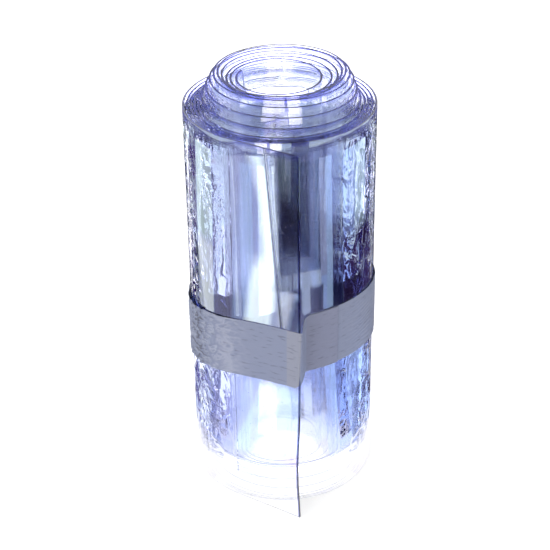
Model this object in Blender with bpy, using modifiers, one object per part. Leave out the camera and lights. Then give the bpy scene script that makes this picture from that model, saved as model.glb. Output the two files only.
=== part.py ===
"""Roll of clear PVC strip for a strip curtain, standing on end in one band of tape.

The strip is one long flexible sheet. It is wound up from its inner end, and its outer end
stands off the roll as a straight flap. The inner turns have slipped upwards past each
other, so the roll rises in steps towards its core. One length of tape goes round the
middle, over the flap, round the flap's end and back onto its own start.

Lengths are in metres and angles in degrees. Azimuths are counted counter-clockwise, seen
from above, from +X. The origin is on the ground, under the middle of the roll's outline.
"""

import math

import bmesh
import bpy
from mathutils import Vector
from mathutils.geometry import intersect_point_line

# The strip as it comes off the extruder.
strip_width = 0.305
strip_thickness = 0.0015

# The winding, counted in turns inwards. Its radius is that of the strip's middle plane.
roll_radius = 0.0694
turn_pitch = 0.00275
turns_wound = 13.24

# The innermost turns have sprung loose and lie further apart.
core_slack = 0.005
slack_turns = 3.3

# The core stands this much higher than the outer turns: one share for each turn inwards.
core_rise = 0.024
rise_shares = (0, 0, 0, 0, 0.02, 0.25, 0.52, 0.77, 0.93, 1, 0.94, 0.81, 0.75, 0.77, 0.77)

# No turn is quite round: each lies a little off the axis, by these shares of the pitch.
side_drift_shares = (0, 0, 0, 0, 0, -0.1, 0, 0.1, 0.1, 0.1, 0.1, 0.1, -0.2, -0.9, -0.6)
depth_drift_shares = (0, -0.25, -0.5, -0.72, -0.62, -0.4, -0.18, 0, 0.04, -0.1, -0.24, -0.4, 0.2, 0, 0)

# The outer end leaves the roll along a tangent. The inner end is cut at a slant.
flap_azimuth = 238.4
flap_length = 0.056
inner_cut_turns = 0.25

# The tape. It lies a little askew, highest at one side.
tape_width = 0.048
tape_thickness = 0.0003
tape_height = 0.134
tape_tilt = 0.011
tape_high_azimuth = 310.0

# The tape starts on the roll, passes the flap's end, folds in and stops on its own start.
tape_overhang = 0.0015
tape_fold_azimuth = 283.0
tape_fold_radius = 0.0012
tape_start_azimuth = 286.0
tape_stop_azimuth = 305.0

# Air between pieces that touch, and between two layers of the tape.
seat_gap = 0.0003
layer_gap = 0.00045

# Fineness of the curves.
columns_per_turn = 48
tape_columns_per_turn = 96
flap_columns = 7
fold_columns = 5
sharp_angle = 40.0
weld_distance = 0.000001

full_turn = 360.0


def clear_scene():
    for thing in list(bpy.data.objects):
        bpy.data.objects.remove(thing, do_unlink=True)


def make_material(name, colour, roughness, metallic, transmission):
    material = bpy.data.materials.new(name)
    material.use_nodes = True
    shader = material.node_tree.nodes["Principled BSDF"]
    shader.inputs["Base Color"].default_value = (*colour, 1)
    shader.inputs["Roughness"].default_value = roughness
    shader.inputs["Metallic"].default_value = metallic
    shader.inputs["Transmission Weight"].default_value = transmission
    material.diffuse_color = (*colour, 1)
    return material


def direction(azimuth):
    angle = math.radians(azimuth)
    return Vector((math.cos(angle), math.sin(angle)))


def share_at(shares, turn):
    """A table's value at a turn count, read from a smooth curve through its entries."""
    last = len(shares) - 1
    low = min(int(turn), last - 1)
    part = turn - low
    rest = 1 - part
    slope_low = (shares[low + 1] - shares[max(low - 1, 0)]) / 2
    slope_high = (shares[min(low + 2, last)] - shares[low]) / 2
    value = shares[low] * rest * rest * (1 + 2 * part)
    value += shares[low + 1] * part * part * (1 + 2 * rest)
    value += slope_low * part * rest * rest
    value -= slope_high * rest * part * part
    return value


def turn_radius(turn):
    loose = max(0, turn - turns_wound + slack_turns) / slack_turns
    return roll_radius - turn_pitch * turn - core_slack * loose * loose


def on_turn(turn, lift=0):
    """A point of the winding in plan, lifted outwards from the strip's middle plane."""
    drift = Vector((share_at(side_drift_shares, turn), share_at(depth_drift_shares, turn)))
    outwards = direction(flap_azimuth - full_turn * turn)
    return drift * turn_pitch + outwards * (turn_radius(turn) + lift)


def on_flap(reach, lift=0):
    """A point of the flap in plan, at a reach from where it leaves the roll."""
    outwards = direction(flap_azimuth)
    along = direction(flap_azimuth + full_turn / 4)
    return on_turn(0) + along * reach + outwards * lift


def strip_columns():
    """The strip's places in plan with its lower and upper edge, from outer to inner end."""
    columns = []
    for step in range(flap_columns):
        reach = flap_length * (1 - step / flap_columns)
        columns.append((on_flap(reach), 0, strip_width))
    count = round(columns_per_turn * (turns_wound + inner_cut_turns))
    for step in range(count + 1):
        turn = (turns_wound + inner_cut_turns) * step / count
        lower = core_rise * max(0, share_at(rise_shares, turn))
        cut_off = max(0, turn - turns_wound) / inner_cut_turns
        columns.append((on_turn(turn), lower, lower + strip_width * (1 - cut_off)))
    return columns


def fold(corner, before, after):
    """The corner of a path in plan, rounded to the fold radius."""
    back = (before - corner).normalized()
    ahead = (after - corner).normalized()
    half_angle = back.angle(ahead) / 2
    middle = corner + (back + ahead).normalized() * tape_fold_radius / math.sin(half_angle)
    first = corner + back * tape_fold_radius / math.tan(half_angle) - middle
    last = corner + ahead * tape_fold_radius / math.tan(half_angle) - middle
    points = []
    for step in range(fold_columns + 1):
        share = step / fold_columns
        arm = first.lerp(last, share)
        points.append(middle + arm.normalized() * tape_fold_radius)
    return points


def tape_plan():
    """The tape's path in plan, from its start on the roll to its stop on that start."""
    lift = strip_thickness / 2 + seat_gap + tape_thickness / 2
    second_lift = lift + tape_thickness + layer_gap
    start_turn = (flap_azimuth + full_turn - tape_start_azimuth) / full_turn
    fold_turn = (flap_azimuth + full_turn - tape_fold_azimuth) / full_turn
    stop_turn = (flap_azimuth + full_turn - tape_stop_azimuth) / full_turn
    count = round(tape_columns_per_turn * start_turn)
    path = [on_turn(start_turn * (1 - step / count), lift) for step in range(count + 1)]
    flap_steps = range(1, flap_columns)
    path += [on_flap(flap_length * step / flap_columns, lift) for step in flap_steps]
    flap_corner = on_flap(flap_length + tape_overhang, lift)
    roll_corner = on_turn(fold_turn, second_lift)
    count = round(tape_columns_per_turn * (fold_turn - stop_turn))
    stretch = []
    for step in range(1, count + 1):
        turn = fold_turn + (stop_turn - fold_turn) * step / count
        stretch.append(on_turn(turn, second_lift))
    path += fold(flap_corner, path[-1], roll_corner)
    path += fold(roll_corner, flap_corner, stretch[0])
    return path + stretch


def tape_columns():
    columns = []
    for place in tape_plan():
        off_high = math.atan2(place.y, place.x) - math.radians(tape_high_azimuth)
        middle = tape_height + tape_tilt * math.cos(off_high)
        columns.append((place, middle - tape_width / 2, middle + tape_width / 2))
    return columns


def outline_middle(columns):
    across = [place.x for place, lower, upper in columns]
    deep = [place.y for place, lower, upper in columns]
    return Vector((min(across) + max(across), min(deep) + max(deep))) / 2


def least_gap(columns, thickness, skipped):
    """Least air between two layers of one sheet. Its walls are upright: the plan decides."""
    places = [place for place, lower, upper in columns]
    least = roll_radius
    for index, place in enumerate(places):
        for other in range(index + skipped, len(places) - 1):
            start = places[other]
            stop = places[other + 1]
            share = intersect_point_line(place, start, stop)[1]
            nearest = start.lerp(stop, min(max(share, 0), 1))
            least = min(least, (place - nearest).length)
    return least - thickness


def make_sheet(name, columns, origin, thickness, material, parts):
    """A flat sheet, one grid column for each place, set upright along them and thickened."""
    sheet = bmesh.new()
    bmesh.ops.create_grid(sheet, x_segments=len(columns) - 1, y_segments=1, size=1)
    for vertex in sheet.verts:
        index = round((vertex.co.x + 1) / 2 * (len(columns) - 1))
        place, lower, upper = columns[index]
        spot = place - origin
        vertex.co = (spot.x, spot.y, upper if vertex.co.y > 0 else lower)
    bmesh.ops.remove_doubles(sheet, verts=sheet.verts, dist=weld_distance)
    surface = bpy.data.meshes.new(name + "_surface")
    sheet.to_mesh(surface)
    sheet.free()
    piece = bpy.data.objects.new(name, surface)
    parts.objects.link(piece)
    wall = piece.modifiers.new("wall", "SOLIDIFY")
    wall.thickness = thickness
    wall.offset = 0
    wall.use_even_offset = True
    depsgraph = bpy.context.evaluated_depsgraph_get()
    solid = bpy.data.meshes.new_from_object(piece.evaluated_get(depsgraph))
    piece.modifiers.remove(wall)
    piece.data = solid
    bpy.data.meshes.remove(surface)
    solid.name = name
    solid.shade_smooth()
    solid.set_sharp_from_angle(angle=math.radians(sharp_angle))
    solid.materials.append(material)


def build():
    clear_scene()
    parts = bpy.data.collections.new("pvc_strip_curtain_roll")
    bpy.context.scene.collection.children.link(parts)
    clear_pvc = make_material("clear_pvc", (0.80, 0.83, 0.97), 0.08, 0, 0.9)
    grey_tape = make_material("grey_tape", (0.36, 0.37, 0.42), 0.6, 0, 0)
    strip = strip_columns()
    tape = tape_columns()
    origin = outline_middle(strip + tape)
    make_sheet("pvc_strip", strip, origin, strip_thickness, clear_pvc, parts)
    make_sheet("tape_band", tape, origin, tape_thickness, grey_tape, parts)
    strip_gap = least_gap(strip, strip_thickness, columns_per_turn // 2)
    tape_gap = least_gap(tape, tape_thickness, columns_per_turn)
    print("least gap of the strip's turns to each other, mm:", round(strip_gap * 1000, 3))
    print("least gap of the tape to itself, mm:", round(tape_gap * 1000, 3))


build()
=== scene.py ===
"""A roll of clear PVC strip in one band of grey tape, dressed for the studio.

Lengths are in metres, azimuths in degrees counter-clockwise from +X, seen from above.
"""

import math

import bmesh
import bpy
import numpy as np
from mathutils import Matrix, Vector, noise


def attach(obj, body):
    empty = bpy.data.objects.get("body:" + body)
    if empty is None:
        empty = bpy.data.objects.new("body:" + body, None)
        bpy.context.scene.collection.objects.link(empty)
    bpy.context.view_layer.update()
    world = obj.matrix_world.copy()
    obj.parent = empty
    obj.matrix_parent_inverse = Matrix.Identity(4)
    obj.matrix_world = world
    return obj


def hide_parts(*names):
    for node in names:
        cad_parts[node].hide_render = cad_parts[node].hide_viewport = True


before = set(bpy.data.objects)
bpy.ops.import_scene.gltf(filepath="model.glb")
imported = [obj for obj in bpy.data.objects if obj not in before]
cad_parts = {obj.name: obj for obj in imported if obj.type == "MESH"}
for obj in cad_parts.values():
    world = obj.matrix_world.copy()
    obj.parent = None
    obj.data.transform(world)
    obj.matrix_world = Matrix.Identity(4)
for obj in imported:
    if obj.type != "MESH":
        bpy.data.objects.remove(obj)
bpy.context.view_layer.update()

# The winding, as in the part's source.
strip_width = 0.305
strip_thickness = 0.0015
roll_radius = 0.0694
turn_pitch = 0.00275
turns_wound = 13.24
core_slack = 0.005
slack_turns = 3.3
core_rise = 0.024
rise_shares = (0, 0, 0, 0, 0.02, 0.25, 0.52, 0.77, 0.93, 1, 0.94, 0.81, 0.75, 0.77, 0.77)
side_drift_shares = (0, 0, 0, 0, 0, -0.1, 0, 0.1, 0.1, 0.1, 0.1, 0.1, -0.2, -0.9, -0.6)
depth_drift_shares = (
    0, -0.25, -0.5, -0.72, -0.62, -0.4, -0.18, 0, 0.04, -0.1, -0.24, -0.4, 0.2, 0, 0
)
flap_azimuth = 238.4
flap_length = 0.056
inner_cut_turns = 0.25
roll_axis = Vector((0.00068, 0.01013))

# The tape, as in the part's source.
tape_width = 0.048
tape_thickness = 0.0003
tape_height = 0.134
tape_tilt = 0.011
tape_high_azimuth = 310.0
tape_overhang = 0.0015
tape_fold_azimuth = 283.0
tape_fold_radius = 0.0012
tape_start_azimuth = 286.0
tape_stop_azimuth = 305.0
seat_gap = 0.0003
layer_gap = 0.00045

# What the visual adds to the winding: uneven walls and the bow of the flap's free end.
wall_unevenness = 0.0005
flap_bow = 0.004
flap_bow_height = 0.045
flap_bow_spread = 0.035

# The flap's crease starts this far out from the flap's root and leans outwards going down.
crease_top = 0.285
crease_foot = 0.152
crease_reach = 0.031
crease_slope = 0.085
crease_width = 0.0007

# How many turns cling to the next one, and how sharply the marks for it begin and end.
clinging_turns = 9
mark_slope = 8

# The tape's film: ribs at the sides, a crumpled patch at the left, and short dashes.
rib_spacing = 0.0031
rib_height = 0.0010
rib_spread = 34
crumple_azimuth = 207
crumple_spread = 19
dash_height = 0.00035

# The tape narrows where it folds, its outer fold leans, and its film is pale just before it.
low_trim_depth = 0.0026
low_trim_spread = 0.0022
high_trim_depth = 0.0016
high_trim_spread = 0.0016
fold_lean = 0.0022
fold_lean_spread = 0.008
fold_flat_length = 0.004
pale_length = 0.0115

# How finely the visual's own surfaces are cut.
strip_columns = 1944
strip_rows = 20
tape_column_width = 0.0008
tape_rows = 72

# The camera's lens in millimetres, its tilt and roll in radians, and its place from the roll.
camera_lens = 99.27
camera_pitch = 0.5439
camera_roll = 0.0137
camera_place = Vector((-0.00566, -0.98002, 0.75401))

# The ring on the ground that stands for the surroundings of the roll. The blur at the sides
# of its cards and the room kept for it are in degrees.
card_start = 0.0005
card_reach = 1.4
card_height = -0.0006
card_side_blur = 1.2
card_side_margin = 1
card_lean_centre = 0.5


class Value:
    """A socket to count with. Each sum adds its Math node to the socket's tree."""

    def __init__(self, tree, socket):
        self.tree = tree
        self.socket = socket

    def math(self, operation, *others):
        numbers = dict(enumerate((self, *others)))
        return self.tree.add("ShaderNodeMath", {"operation": operation}, numbers)

    def __add__(self, other):
        return self.math("ADD", other)

    def __mul__(self, other):
        return self.math("MULTIPLY", other)

    def __sub__(self, other):
        return self.math("SUBTRACT", other)

    def __rsub__(self, other):
        return (self * -1) + other

    def __truediv__(self, other):
        return self.math("DIVIDE", other)

    def __pow__(self, other):
        return self.math("POWER", other)

    def __neg__(self):
        return self * -1

    def at_least(self, other):
        return self.math("MAXIMUM", other)

    def at_most(self, other):
        return self.math("MINIMUM", other)

    def clamped(self):
        return self.at_least(0).at_most(1)

    def ramp(self, start, end):
        """Nothing at the start and before it, one at the end and past it."""
        return ((self - start) / (end - start)).clamped()

    def bell(self):
        """One where this is nothing, and falling off to nothing on both sides."""
        return (self ** 2 * -1).math("EXPONENT")

    def sine(self):
        return self.math("SINE")

    def cosine(self):
        return self.math("COSINE")


class Tree:
    """A node tree that grows by one method, from a node's type, settings and inputs."""

    def __init__(self, nodes_of):
        self.tree = nodes_of
        self.tree.nodes.clear()

    def add(self, kind, settings=(), inputs=(), output=0):
        node = self.tree.nodes.new(kind)
        for name, value in dict(settings).items():
            if name == "points":
                self.set_points(node.mapping, value)
            else:
                setattr(node, name, value)
        for name, value in dict(inputs).items():
            self.fill(node.inputs[name], value)
        return Value(self, node.outputs[output]) if len(node.outputs) else node

    def fill(self, slot, value):
        if isinstance(value, Value):
            self.tree.links.new(slot, value.socket)
        else:
            slot.default_value = value

    def split(self, vector, part):
        return self.add("ShaderNodeSeparateXYZ", {}, {0: vector}, part)

    def mix(self, share, first, second):
        colours = {0: share, 6: first, 7: second}
        return self.add("ShaderNodeMix", {"data_type": "RGBA"}, colours, 2)

    def attribute(self, name):
        return self.add("ShaderNodeAttribute", {"attribute_name": name}, {}, "Fac")

    def set_points(self, mapping, points):
        mapping.use_clip = False
        curve = mapping.curves[0]
        while len(curve.points) < len(points):
            curve.points.new(0.5, 0.5)
        for point, place in zip(curve.points, points):
            point.location = place
        mapping.update()


def make_material(name):
    material = bpy.data.materials.new(name)
    material.use_nodes = True
    return material, Tree(material.node_tree)


def placed(name, data):
    """A new object in the scene."""
    thing = bpy.data.objects.new(name, data)
    bpy.context.scene.collection.objects.link(thing)
    return thing


def faces_between(sheet, uv, lines):
    """Joins lines of corners, each a vertex and its UV, by rows of four-sided faces."""
    for near, far in zip(lines, lines[1:]):
        for index in range(len(near) - 1):
            corners = (near[index], far[index], far[index + 1], near[index + 1])
            face = sheet.faces.new([vertex for vertex, _ in corners])
            for loop, (_, spot) in zip(face.loops, corners):
                loop[uv].uv = spot


def set_camera():
    data = bpy.data.cameras.new("camera")
    data.lens = camera_lens
    data.sensor_width = 36
    data.clip_start = 0.05
    data.clip_end = 20
    camera = placed("camera", data)
    level = Vector((1, 0, 0))
    up = Vector((0, math.sin(camera_pitch), math.cos(camera_pitch)))
    right = (level - up * camera_roll).normalized()
    up = (up + level * camera_roll).normalized()
    back = right.cross(up)
    place = Matrix.Translation(camera_place + roll_axis.to_3d())
    camera.matrix_world = place @ Matrix((right, up, back)).transposed().to_4x4()
    bpy.context.scene.camera = camera


def area_light(name, place, target, size, power):
    data = bpy.data.lights.new(name, "AREA")
    data.shape = "RECTANGLE"
    data.size, data.size_y = size
    data.energy = power
    lamp = placed(name, data)
    lamp.location = place
    lamp.rotation_euler = (Vector(target) - Vector(place)).to_track_quat("-Z", "Y").to_euler()


def flat_ring(name, inner, outer, height, columns=96, rows=12):
    """A flat ring round the roll's axis. Its UV is the azimuth and the distance, as shares."""
    sheet = bmesh.new()
    uv = sheet.loops.layers.uv.new("UVMap")
    grid = []
    for row in range(rows + 1):
        reach = inner + (outer - inner) * row / rows
        ring = []
        for column in range(columns + 1):
            angle = math.tau * column / columns
            x = roll_axis.x + reach * math.cos(angle)
            y = roll_axis.y + reach * math.sin(angle)
            ring.append((sheet.verts.new((x, y, height)), (column / columns, row / rows)))
        grid.append(ring)
    faces_between(sheet, uv, grid)
    mesh = bpy.data.meshes.new(name)
    sheet.to_mesh(mesh)
    sheet.free()
    return placed(name, mesh)


# The cards that stand round the roll, as the clear walls mirror them: the azimuths between
# which each one stands, its nearest and farthest place from the roll's axis, how far its near
# and far edges blur, how many degrees it leans for each metre of distance, and its colour.
surroundings = {
    "core glow": (0, 360, 0.0, 0.034, 0.004, 0, (2.2, 2.2, 2.2)),
    "table glow": (0, 360, 0.032, 0.098, 0.01, 0, (1.3, 1.3, 1.3)),
    "under left": (135, 215, 0.06, 0.08, 0.02, 0, (1.1, 1.08, 1.2)),
    "under right": (325, 410, 0.06, 0.08, 0.02, 0, (1.08, 1.05, 1.18)),
    "under back": (50, 130, 0.054, 0.09, 0.012, 0, (0.3, 0.3, 0.42)),
    "front glow": (225, 315, 0.084, 0.122, 0.015, 0, (1.15, 1.2, 1.35)),
    "left foot": (110, 205, 0.108, 0.165, 0.025, 0, (0.2, 0.19, 0.32)),
    "right foot": (335, 430, 0.108, 0.165, 0.025, 0, (0.18, 0.16, 0.28)),
    "back light": (70, 130, 0.078, 0.14, 0.01, 0, (1.3, 1.3, 1.4)),
    "left wall": (90, 241, 0.10, 0.66, 0.03, 0, (0.65, 0.8, 1.34)),
    "right wall": (313, 450, 0.10, 0.66, 0.03, 0, (0.71, 1, 1.82)),
    "left gleam": (126, 133, 0.11, 0.66, 0.01, 0, (2.7, 2.7, 2.7)),
    "left post": (134, 154, 0.11, 0.66, 0.01, 0, (0.06, 0.02, 0.18)),
    "left window": (155, 184, 0.43, 0.66, 0.02, 0, (1.29, 1.59, 1.64)),
    "left shelf": (155, 184, 0.12, 0.43, 0.02, 0, (1.82, 1.99, 2.17)),
    "left curtain": (185, 210, 0.12, 0.66, 0.01, 0, (0.51, 0.52, 0.85)),
    "left sky": (221, 235, 0.12, 0.66, 0.01, 0, (0.96, 1.43, 2.11)),
    "left gap": (213.3, 214.4, 0.28, 0.65, 0.01, 20.7, (3.2, 3.65, 3.57)),
    "left gap low": (212.3, 215.6, 0.28, 0.42, 0.04, 9.5, (2.8, 3.22, 3.15)),
    "left blind": (214.8, 219.4, 0.362, 0.66, 0.004, 15.9, (0.01, 0.01, 0.01)),
    "window bar": (236, 242, 0.12, 0.66, 0.01, 0, (0.57, 0.36, 0.78)),
    "bright pane": (242.5, 262, 0.15, 0.70, 0.004, 0, (3.37, 3.77, 3.57)),
    "dark board": (262, 313, 0.402, 0.66, 0.004, 0, (0.01, 0.01, 0.01)),
    "light below": (262, 313, 0.135, 0.402, 0.01, 0, (0.96, 1.17, 1.49)),
    "behind the tape": (225, 313, 0.22, 0.315, 0.01, 0, (0.02, 0.02, 0.04)),
    "flap light": (215.3, 217.8, 0.20, 0.362, 0.01, 20, (1.3, 1.4, 1.6)),
    "flap strut": (217.8, 219.6, 0.20, 0.352, 0.01, 20, (0.02, 0.02, 0.03)),
    "left strut": (277, 291, 0.17, 0.375, 0.008, 0, (0.02, 0.02, 0.03)),
    "right strut": (300, 316, 0.17, 0.375, 0.008, 0, (0.04, 0.04, 0.06)),
    "right frame": (313, 321, 0.39, 0.66, 0.004, 0, (0.68, 0.8, 1.25)),
    "right pane": (321, 329, 0.12, 0.66, 0.004, 0, (0.77, 1.12, 1.72)),
    "right bar": (329, 344, 0.12, 0.66, 0.004, 0, (0, 0, 0.04)),
    "right curtain": (364, 384, 0.42, 0.66, 0.004, 0, (0.91, 1.25, 1.48)),
    "right post": (385, 402, 0.11, 0.66, 0.004, 0, (0.06, 0.05, 0.11)),
    "right window": (402, 416, 0.11, 0.66, 0.004, 0, (0.51, 0.51, 0.55)),
    "right shade": (344, 404, 0.24, 0.46, 0.05, 0, (0.04, 0.02, 0.09)),
    "back shade": (56, 125, 0.17, 0.66, 0.03, 0, (0.01, 0.01, 0.03)),
    "dark rail": (0, 360, 0.64, 0.675, 0.004, 0, (0.12, 0.12, 0.3)),
    "far wall": (0, 360, 0.675, 1.4, 0.004, 0, (1.25, 1.5, 1.5)),
    "back window": (55, 125, 0.68, 1.4, 0.004, 0, (5.6, 5.6, 5.6)),
    "dark shelf": (281, 300, 0.66, 0.695, 0.01, 0, (0.1, 0.09, 0.12)),
    "softbox": (240, 300, 0.69, 1.4, 0.004, 0, (7.8, 7.8, 7.28)),
    "softbox bar": (274, 279, 0.735, 1.4, 0.004, 0, (0.9, 0.8, 1.2)),
    "low softbox": (243, 270, 0.675, 0.72, 0.004, 0, (7.8, 7.8, 7.28)),
}


def render_settings():
    """Clear walls behind clear walls need many bounces."""
    scene = bpy.context.scene
    scene.view_settings.view_transform = "Standard"
    scene.view_settings.look = "None"
    scene.cycles.max_bounces = 80
    scene.cycles.transmission_bounces = 80
    scene.cycles.glossy_bounces = 80
    scene.cycles.diffuse_bounces = 3
    scene.cycles.volume_bounces = 0
    scene.cycles.transparent_max_bounces = 96
    scene.cycles.sample_clamp_indirect = 4
    scene.cycles.use_denoising = True


def studio():
    world = bpy.data.worlds.new("studio")
    bpy.context.scene.world = world
    world.use_nodes = True
    sky = Tree(world.node_tree)
    light = sky.add("ShaderNodeBackground", {}, {"Color": (1, 1, 1, 1), "Strength": 0.9})
    sky.add("ShaderNodeOutputWorld", {}, {"Surface": light})

    bpy.ops.mesh.primitive_plane_add(size=8)
    floor = bpy.context.object
    floor.name = "floor"
    material, tree = make_material("floor_white")
    paint = {"Base Color": (0.85, 0.85, 0.85, 1), "Roughness": 0.8}
    paint |= {"Emission Color": (1, 1, 1, 1), "Emission Strength": 0.45}
    shader = tree.add("ShaderNodeBsdfPrincipled", {}, paint)
    tree.add("ShaderNodeOutputMaterial", {}, {"Surface": shader})
    floor.data.materials.append(material)
    floor.visible_glossy = False
    floor.visible_transmission = False

    area_light("soft_top", (-0.5, -0.2, 1.6), (0, 0, 0.1), (1.2, 1.2), 8)

    card = flat_ring("reflected_card", card_start, card_reach, card_height)
    card.data.materials.append(card_light())
    card.visible_camera = False
    card.visible_diffuse = False
    card.visible_shadow = False


def card_light():
    """The table of surroundings as light, each entry laid over those before it."""
    material, tree = make_material("card_grey")
    uv = tree.add("ShaderNodeUVMap", {"uv_map": "UVMap"})
    azimuth = tree.split(uv, 0) * 360
    distance = tree.split(uv, 1) * card_reach
    shade = (1.0, 1.0, 1.0, 1.0)
    for left, right, near, far, blur, lean, colour in surroundings.values():
        cover = ((distance - near).at_most(far - distance) / blur + 0.5).clamped()
        if right - left < 360:
            turned = azimuth - left + card_side_margin + (distance - card_lean_centre) * lean
            turned = turned.math("FLOORED_MODULO", 360) - card_side_margin
            across = turned.at_most(right - left - turned) / card_side_blur
            cover = cover * (across + 0.5).clamped()
        shade = tree.mix(cover, shade, (*colour, 1))
    glow = tree.add("ShaderNodeEmission", {}, {"Color": shade, "Strength": 1.0})
    tree.add("ShaderNodeOutputMaterial", {}, {"Surface": glow})
    return material


def curve_points(shares):
    last = len(shares) - 1
    return [(index / last, share) for index, share in enumerate(shares)]


def wind_strip(material):
    """The winding rule as geometry nodes: a flat grid is rolled up into the strip."""
    group = bpy.data.node_groups.new("wind_strip", "GeometryNodeTree")
    sizes = {
        "Columns": strip_columns, "Rows": strip_rows,
        "Turns": turns_wound, "Inner cut": inner_cut_turns,
        "Roll radius": roll_radius, "Turn pitch": turn_pitch, "Core slack": core_slack,
        "Slack turns": slack_turns, "Core rise": core_rise, "Strip width": strip_width,
        "Flap azimuth": math.radians(flap_azimuth), "Flap length": flap_length,
    }
    for name in sizes:
        kind = "NodeSocketInt" if name in ("Columns", "Rows") else "NodeSocketFloat"
        group.interface.new_socket(name, in_out="INPUT", socket_type=kind)
    group.interface.new_socket("Strip", in_out="OUTPUT", socket_type="NodeSocketGeometry")
    tree = Tree(group)
    entry = tree.tree.nodes.new("NodeGroupInput")
    size = {name: Value(tree, entry.outputs[name]) for name in sizes}
    fineness = {"Vertices X": size["Columns"], "Vertices Y": size["Rows"]}
    sheet = tree.add("GeometryNodeMeshGrid", {}, {"Size X": 1.0, "Size Y": 1.0, **fineness})
    flat_place = tree.add("GeometryNodeInputPosition")
    along = tree.split(flat_place, 0) + 0.5
    up = tree.split(flat_place, 1) + 0.5

    whole = size["Turns"] + size["Inner cut"]
    flap_turns = size["Flap length"] / (size["Roll radius"] * math.tau)
    count = along * (whole + flap_turns) - flap_turns
    turn = count.at_least(0)
    reach = (-count).at_least(0) * size["Roll radius"] * math.tau
    loose = (turn - size["Turns"] + size["Slack turns"]).at_least(0) / size["Slack turns"]
    radius = size["Roll radius"] - size["Turn pitch"] * turn - size["Core slack"] * loose * loose

    def table(shares):
        steps = {"points": curve_points(shares)}
        return tree.add("ShaderNodeFloatCurve", steps, {"Value": turn / (len(shares) - 1)})

    side = table(side_drift_shares) * size["Turn pitch"]
    depth = table(depth_drift_shares) * size["Turn pitch"]
    lower = table(rise_shares).at_least(0) * size["Core rise"]
    cut = (turn - size["Turns"]).at_least(0) / size["Inner cut"]
    azimuth = size["Flap azimuth"] - turn * math.tau
    height = lower + up * size["Strip width"] * (1 - cut)

    # No turn is quite round, and the flap's free end bows out a little near the ground.
    spot = {0: azimuth.cosine() * 2, 1: azimuth.sine() * 2, 2: height * 12 + turn * 3}
    spot = tree.add("ShaderNodeCombineXYZ", {}, spot)
    wave = tree.add("ShaderNodeTexNoise", {}, {"Vector": spot, "Scale": 1.0, "Detail": 1.0})
    radius = radius + (wave - 0.5) * wall_unevenness
    bow = ((height - flap_bow_height) / flap_bow_spread).bell()
    bow = bow * (reach / size["Flap length"]) ** 2 * flap_bow
    flap = size["Flap azimuth"]
    x = side + radius * azimuth.cosine() - reach * flap.sine() + bow * flap.cosine()
    y = depth + radius * azimuth.sine() + reach * flap.cosine() + bow * flap.sine()
    where = {0: x + roll_axis.x, 1: y + roll_axis.y, 2: height}
    where = tree.add("ShaderNodeCombineXYZ", {}, where)
    named = {"data_type": "FLOAT", "domain": "POINT"}
    shape = sheet
    for name, value in (("turn", count), ("up", up)):
        mark = {"Geometry": shape, "Name": name, "Value": value}
        shape = tree.add("GeometryNodeStoreNamedAttribute", named, mark)
    shape = tree.add("GeometryNodeSetPosition", {}, {"Geometry": shape, "Position": where})
    shape = tree.add("GeometryNodeSetShadeSmooth", {}, {"Geometry": shape})
    shape = tree.add("GeometryNodeRealizeInstances", {}, {"Geometry": shape})
    shape = tree.add("GeometryNodeSetMaterial", {}, {"Geometry": shape, "Material": material})
    out = tree.tree.nodes.new("NodeGroupOutput")
    tree.fill(out.inputs["Strip"], shape)
    return group, sizes


def mark_gaps(mesh):
    """Marks the skins that face another turn, always in pairs, and the outermost skin.

    The wall modifier puts one skin's points before the other's.
    """
    turn = np.zeros(len(mesh.vertices))
    mesh.attributes["turn"].data.foreach_get("value", turn)
    spots = np.zeros(len(mesh.vertices) * 3)
    mesh.vertices.foreach_get("co", spots)
    half = len(turn) // 2
    distance = np.hypot(*(spots.reshape(-1, 3)[:, :2] - np.array(roll_axis)).T)
    first_is_outer = distance[:half].mean() > distance[half:].mean()
    outer = (np.arange(len(turn)) < half) == first_is_outer
    neighbours = np.where(outer, turn - 1, turns_wound - 1 - turn)
    facing = np.clip(neighbours * mark_slope + 0.5, 0, 1) * np.clip(turn * mark_slope + 0.5, 0, 1)
    facing *= np.clip(clinging_turns - np.where(outer, turn - 1, turn), 0, 1)
    outermost = outer * np.clip((1 - turn) * mark_slope + 0.5, 0, 1)
    for name, share in (("gap", facing), ("outermost", outermost)):
        mark = mesh.attributes.new(name, "FLOAT", "POINT")
        mark.data.foreach_set("value", share)


def make_strip():
    group, sizes = wind_strip(clear_pvc())
    surface = bpy.data.meshes.new("strip_surface")
    maker = placed("strip_maker", surface)
    rule = maker.modifiers.new("winding", "NODES")
    rule.node_group = group
    for item in group.interface.items_tree:
        if item.name in sizes:
            kind = int if item.socket_type == "NodeSocketInt" else float
            rule[item.identifier] = kind(sizes[item.name])
    wall = maker.modifiers.new("wall", "SOLIDIFY")
    wall.thickness = strip_thickness
    wall.offset = 0
    wall.use_even_offset = True
    depsgraph = bpy.context.evaluated_depsgraph_get()
    mesh = bpy.data.meshes.new_from_object(maker.evaluated_get(depsgraph))
    bpy.data.objects.remove(maker)
    mesh.name = "clear_strip"
    mesh.shade_smooth()
    mesh.set_sharp_from_angle(angle=math.radians(50))
    mark_gaps(mesh)
    return placed("clear_strip", mesh)


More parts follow.
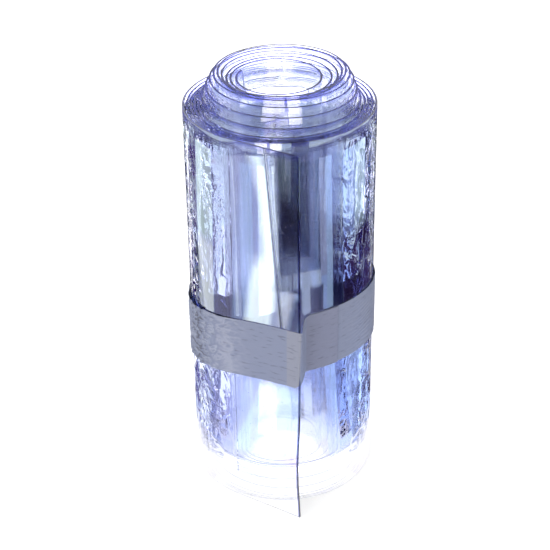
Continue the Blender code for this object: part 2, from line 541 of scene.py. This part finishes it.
def clear_pvc():
    material, tree = make_material("clear_pvc_sheet")
    where = tree.add("ShaderNodeTexCoord", {}, {}, "Object")
    height = tree.split(where, 2)
    beside = (tree.split(where, 0) - roll_axis.x).math("ABSOLUTE")
    body = height.ramp(0.016, 0.02267) * height.ramp(0.303, 0.29633)
    outermost = tree.attribute("outermost")
    reach = tree.attribute("turn") * (-math.tau * roll_radius)

    # Where two turns cling together there is no air between them, and nothing is mirrored.
    # They do so all over the front, and in patches at the sides.
    tall = tree.add("ShaderNodeMapping", {}, {"Vector": where, "Scale": (1, 1, 0.42)})
    cloud = {"Vector": tall, "Scale": 38.0, "Detail": 2.0, "Roughness": 0.5, "Distortion": 0.6}
    blot = tree.add("ShaderNodeTexNoise", {}, cloud)
    front = beside.ramp(0.06, 0.04333)
    cling = (blot + front * 0.4 + (body - 1) * 2).ramp(0.5, 0.51667)
    cling = cling * tree.attribute("gap").math("GREATER_THAN", 0.5)

    # The crease that the tape pulls into the flap. It runs down from the flap's root. It is a
    # bump, and it is also painted dark along its line as painted shade.
    crease_at = (crease_top - height) * crease_slope + crease_reach
    shaded_crease = ((reach - crease_at) / crease_width).bell()
    shaded_crease = shaded_crease * height.ramp(crease_foot, crease_foot + 0.005)

    # Ripples at the sides, which spread a little further round near the ground.
    swirl = {"Vector": where, "Scale": 62.0, "Detail": 1.2, "Distortion": 1.0}
    marble = tree.add("ShaderNodeTexNoise", {}, swirl)
    spread = height.ramp(0.13, 0.11) * 0.01 + (blot - 0.5) * 0.02308
    ripple = (beside + spread).ramp(0.06077, 0.06846)
    ripple = ripple * height.ramp(0.024, 0.04067) * height.ramp(0.301, 0.2985)
    depth = ripple * (outermost * 4.8 + body * 0.15) + body * 0.012
    relief = {"Height": shaded_crease * 0.4 + marble * depth, "Strength": 1.0, "Distance": 0.0012}
    bump = tree.add("ShaderNodeBump", {}, relief)

    # Fine grit, and the darker cut edges: the band along each top edge is tinted indigo and the
    # flap's end face is painted dark, both as painted shade.
    grit = tree.add("ShaderNodeTexVoronoi", {}, {"Vector": where, "Scale": 130.0})
    speck = grit.ramp(0.06667, 0.05)
    # Painted shade: the band along the top edge is tinted indigo, for the dark rims.
    shaded_top_edge = tree.attribute("up").ramp(0.984, 0.99829)
    # Painted shade: the flap's end face is painted dark, and it gets no coat.
    shaded_end_face = reach.ramp(flap_length - 0.0012, flap_length - 0.00095)
    colour = tree.mix(shaded_top_edge, (1, 1, 1, 1), (0.52, 0.53, 0.82, 1))
    # Painted shade from the crease and the end face darkens the colour here, together with the
    # real grit.
    grit_and_painted_shade = (speck * 0.8 + shaded_crease + shaded_end_face).at_most(1)
    skin = {
        "Base Color": tree.mix(grit_and_painted_shade, colour, (0.16, 0.16, 0.36, 1)),
        "Roughness": speck * 0.3, "IOR": 1.53, "Alpha": 1 - cling,
        "Transmission Weight": 1.0, "Normal": bump, "Coat IOR": 2.3, "Coat Roughness": 0.0,
        "Coat Weight": outermost * (1 - ripple) * (1 - shaded_crease) * (1 - shaded_end_face),
    }
    shader = tree.add("ShaderNodeBsdfPrincipled", {}, skin)
    absorbed = {"Color": (0.28, 0.33, 0.74, 1), "Density": 20.0}
    tint = tree.add("ShaderNodeVolumeAbsorption", {}, absorbed)
    tree.add("ShaderNodeOutputMaterial", {}, {"Surface": shader, "Volume": tint})
    return material


def direction(azimuth):
    angle = math.radians(azimuth)
    return Vector((math.cos(angle), math.sin(angle)))


def share_at(shares, turn):
    """The table's value between its entries, along a smooth curve."""
    last = len(shares) - 1
    low = min(int(turn), last - 1)
    part = turn - low
    rest = 1 - part
    slope_low = (shares[low + 1] - shares[max(low - 1, 0)]) / 2
    slope_high = (shares[min(low + 2, last)] - shares[low]) / 2
    value = shares[low] * rest * rest * (1 + 2 * part)
    value += shares[low + 1] * part * part * (1 + 2 * rest)
    value += slope_low * part * rest * rest
    value -= slope_high * rest * part * part
    return value


def on_turn(turn, lift):
    drift = Vector((share_at(side_drift_shares, turn), share_at(depth_drift_shares, turn)))
    outwards = direction(flap_azimuth - 360 * turn)
    return roll_axis + drift * turn_pitch + outwards * (roll_radius - turn_pitch * turn + lift)


def on_flap(reach, lift):
    return on_turn(0, lift) + direction(flap_azimuth + 90) * reach


def rounded(corner, before, after, steps=10):
    """Points on the arc that takes the place of a corner."""
    back = (before - corner).normalized()
    ahead = (after - corner).normalized()
    half = back.angle(ahead) / 2
    middle = corner + (back + ahead).normalized() * tape_fold_radius / math.sin(half)
    first = corner + back * tape_fold_radius / math.tan(half) - middle
    last = corner + ahead * tape_fold_radius / math.tan(half) - middle
    spokes = [first.lerp(last, step / steps).normalized() for step in range(steps + 1)]
    return [middle + spoke * tape_fold_radius for spoke in spokes]


def turn_at(azimuth):
    """Where on the outermost turn an azimuth beyond the flap's root lies."""
    return (flap_azimuth + 360 - azimuth) / 360


def tape_path():
    """The tape seen from above: round the roll, out on the flap, back, and onto its start."""
    lift = strip_thickness / 2 + seat_gap + tape_thickness / 2
    second = lift + tape_thickness + layer_gap
    start, fold, stop = map(turn_at, (tape_start_azimuth, tape_fold_azimuth, tape_stop_azimuth))
    path = [on_turn(start * (1 - step / 360), lift) for step in range(361)]
    path += [on_flap(flap_length * step / 40, lift) for step in range(1, 40)]
    flap_corner = on_flap(flap_length + tape_overhang, lift)
    roll_corner = on_turn(fold, second)
    stretch = [on_turn(fold + (stop - fold) * step / 24, second) for step in range(2, 25)]
    path += rounded(flap_corner, path[-1], roll_corner)
    path += rounded(roll_corner, flap_corner, stretch[0])
    return path + stretch


def evenly(path, step):
    """The path's points again at even steps along it."""
    points = np.array([tuple(point) for point in path])
    lengths = np.concatenate([[0], np.cumsum(np.hypot(*np.diff(points, axis=0).T))])
    count = round(lengths[-1] / step)
    marks = np.linspace(0, lengths[-1], count + 1)
    return marks, np.stack([np.interp(marks, lengths, points[:, axis]) for axis in (0, 1)], axis=1)


def swell(distance, width):
    """One at a place and nothing some widths away from it."""
    return math.exp(-((distance / width) ** 2))


def wrinkle(mark, up, azimuth, on_lap):
    """How far the film stands off its seat, and how crumpled it is there, as a value that sets
    painted shade and painted highlight on the film.
    """
    drift = noise.noise(Vector((mark * 60, up * 45, 3))) * 0.004
    rib = abs(math.sin(math.pi * (up + drift) / rib_spacing)) ** 0.7
    sides = max(swell(azimuth - side, rib_spread) for side in (180, 360, 0))
    sides = max(sides, 0.35 * swell(azimuth - 90, 60))
    height = rib_height * sides * rib

    crumpled = swell(azimuth - crumple_azimuth, crumple_spread)
    spot = Vector((mark * 75 + up * 75, up * 120 - mark * 60, 1))
    fold = 1 - min(1, abs(noise.noise(spot)) * 3.2)
    small_fold = 1 - min(1, abs(noise.noise(spot * 2.1)) * 3.2)
    height += crumpled * (0.0016 * fold + 0.0007 * small_fold)
    # The second value is painted light on the film: painted shade where the crumples fold deepest,
    # and a painted highlight where it is small, as between the ribs at the sides.
    worn = crumpled * (1.2 * fold + 0.7 * small_fold) + sides * (0.5 - rib) * 0.5

    dash = noise.noise(Vector((mark * 170, up * 620, 5)))
    height += max(0, dash) * dash_height * (0.35 + 0.65 * on_lap)
    return height, worn


def tape_corners(marks, plan):
    """How far along the tape it turns at the flap's end, and then at the roll."""
    flap_end = np.array(on_flap(flap_length + tape_overhang, 0))
    roll_fold = np.array(on_turn(turn_at(tape_fold_azimuth), 0.001))
    corner_mark = marks[np.argmin(np.hypot(*(plan - flap_end).T))]
    too_early = (marks < corner_mark) * 1.0
    return corner_mark, marks[np.argmin(np.hypot(*(plan - roll_fold).T) + too_early)]


def make_tape():
    marks, plan = evenly(tape_path(), tape_column_width)
    sheet = bmesh.new()
    uv = sheet.loops.layers.uv.new("UVMap")
    # The third layer holds the film's painted shade and painted highlight.
    pale_layer, lap_layer, crumple_shading_layer = [
        sheet.verts.layers.float.new(name) for name in ("pale", "lap", "worn")
    ]
    ahead = np.gradient(plan, axis=0)
    ahead /= np.hypot(*ahead.T)[:, None]
    corner_mark, fold_mark = tape_corners(marks, plan)
    under_mark = (marks[-1] - fold_mark) * 0.97
    grid = []
    for mark, spot, along in zip(marks, plan, ahead):
        angle = math.atan2(spot[1] - roll_axis.y, spot[0] - roll_axis.x)
        azimuth = math.degrees(angle) % 360
        middle = tape_height + tape_tilt * math.cos(angle - math.radians(tape_high_azimuth))
        outwards = np.array((along[1], -along[0]))
        if outwards @ (spot - np.array(roll_axis)) < 0:
            outwards = -outwards
        on_lap = mark > fold_mark
        past_corner = mark - corner_mark
        low_trim = low_trim_depth * swell(past_corner, low_trim_spread)
        high_trim = high_trim_depth * swell(mark - fold_mark, high_trim_spread)
        lean = np.array(direction(flap_azimuth + 90)) * fold_lean
        lean *= swell(past_corner, fold_lean_spread)
        flat = mark < under_mark or abs(past_corner) < fold_flat_length
        column = []
        for row in range(tape_rows + 1):
            share = row / tape_rows
            up = low_trim + (tape_width - low_trim - high_trim) * share
            height, worn = (0, 0) if flat else wrinkle(mark, up, azimuth, on_lap)
            place = spot + outwards * height + lean * (share - 0.5)
            vertex = sheet.verts.new((*place, middle + up - tape_width / 2))
            vertex[pale_layer] = -pale_length < past_corner < 0
            vertex[lap_layer] = on_lap
            vertex[crumple_shading_layer] = worn
            column.append((vertex, (mark, up)))
        grid.append(column)
    faces_between(sheet, uv, grid)
    mesh = bpy.data.meshes.new("tape")
    sheet.to_mesh(mesh)
    sheet.free()
    tape = placed("tape", mesh)
    wall = tape.modifiers.new("wall", "SOLIDIFY")
    wall.thickness = tape_thickness
    wall.offset = 0
    mesh.shade_smooth()
    return tape


def grey_tape():
    material, tree = make_material("grey_tape_film")
    uv = tree.add("ShaderNodeUVMap", {"uv_map": "UVMap"})

    def noise_along(scale, detail):
        """Noise on the tape's film, scaled apart along it and across it."""
        stretched = tree.add("ShaderNodeMapping", {}, {"Vector": uv, "Scale": (*scale, 1)})
        pattern = {"Vector": stretched, "Scale": 1.0, "Detail": detail}
        return tree.add("ShaderNodeTexNoise", {}, pattern)

    # The film's creases are a bump, and also painted shade that darkens the colour along them.
    shaded_crease = noise_along((120, 640), 1.5).ramp(0.6, 0.71111)
    cloud = noise_along((60, 60), 3.0)
    line = noise_along((90, 1500), 2.0)
    # Painted shade and painted highlight on the crumples, from the tape's third layer.
    worn = tree.attribute("worn")
    shaded = worn.ramp(0.85, 1.475).at_most(0.8)
    # A painted highlight where the crumples fold only a little and between the ribs.
    painted_highlight = ((0.45 - worn) * (worn * 9).at_most(1)).at_least(0).at_most(0.4)
    colour = (0.215, 0.24, 0.345, 1)
    for share, paint in (
        (cloud.ramp(0.3, 1.3) * 0.6, (0.25, 0.265, 0.36, 1)),
        (tree.attribute("lap") * 0.8, (0.205, 0.215, 0.31, 1)),
        (tree.attribute("pale") * 0.75, (0.27, 0.275, 0.335, 1)),
        (shaded_crease * 0.55, (0.11, 0.11, 0.155, 1)),
        (shaded, (0.07, 0.07, 0.1, 1)),
        (painted_highlight, (0.5, 0.51, 0.6, 1)),
    ):
        colour = tree.mix(share, colour, paint)
    relief = {"Height": line * 0.25 - shaded_crease, "Strength": 0.55, "Distance": 0.0003}
    bump = tree.add("ShaderNodeBump", {}, relief)
    skin = {"Base Color": colour, "Roughness": cloud * 0.2 + 0.38, "Normal": bump}
    shader = tree.add("ShaderNodeBsdfPrincipled", {}, skin)
    tree.add("ShaderNodeOutputMaterial", {}, {"Surface": shader})
    return material


render_settings()
set_camera()
studio()

strip = make_strip()
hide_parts("pvc_strip")
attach(strip, "root")

tape = make_tape()
tape.data.materials.append(grey_tape())
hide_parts("tape_band")
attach(tape, "root")
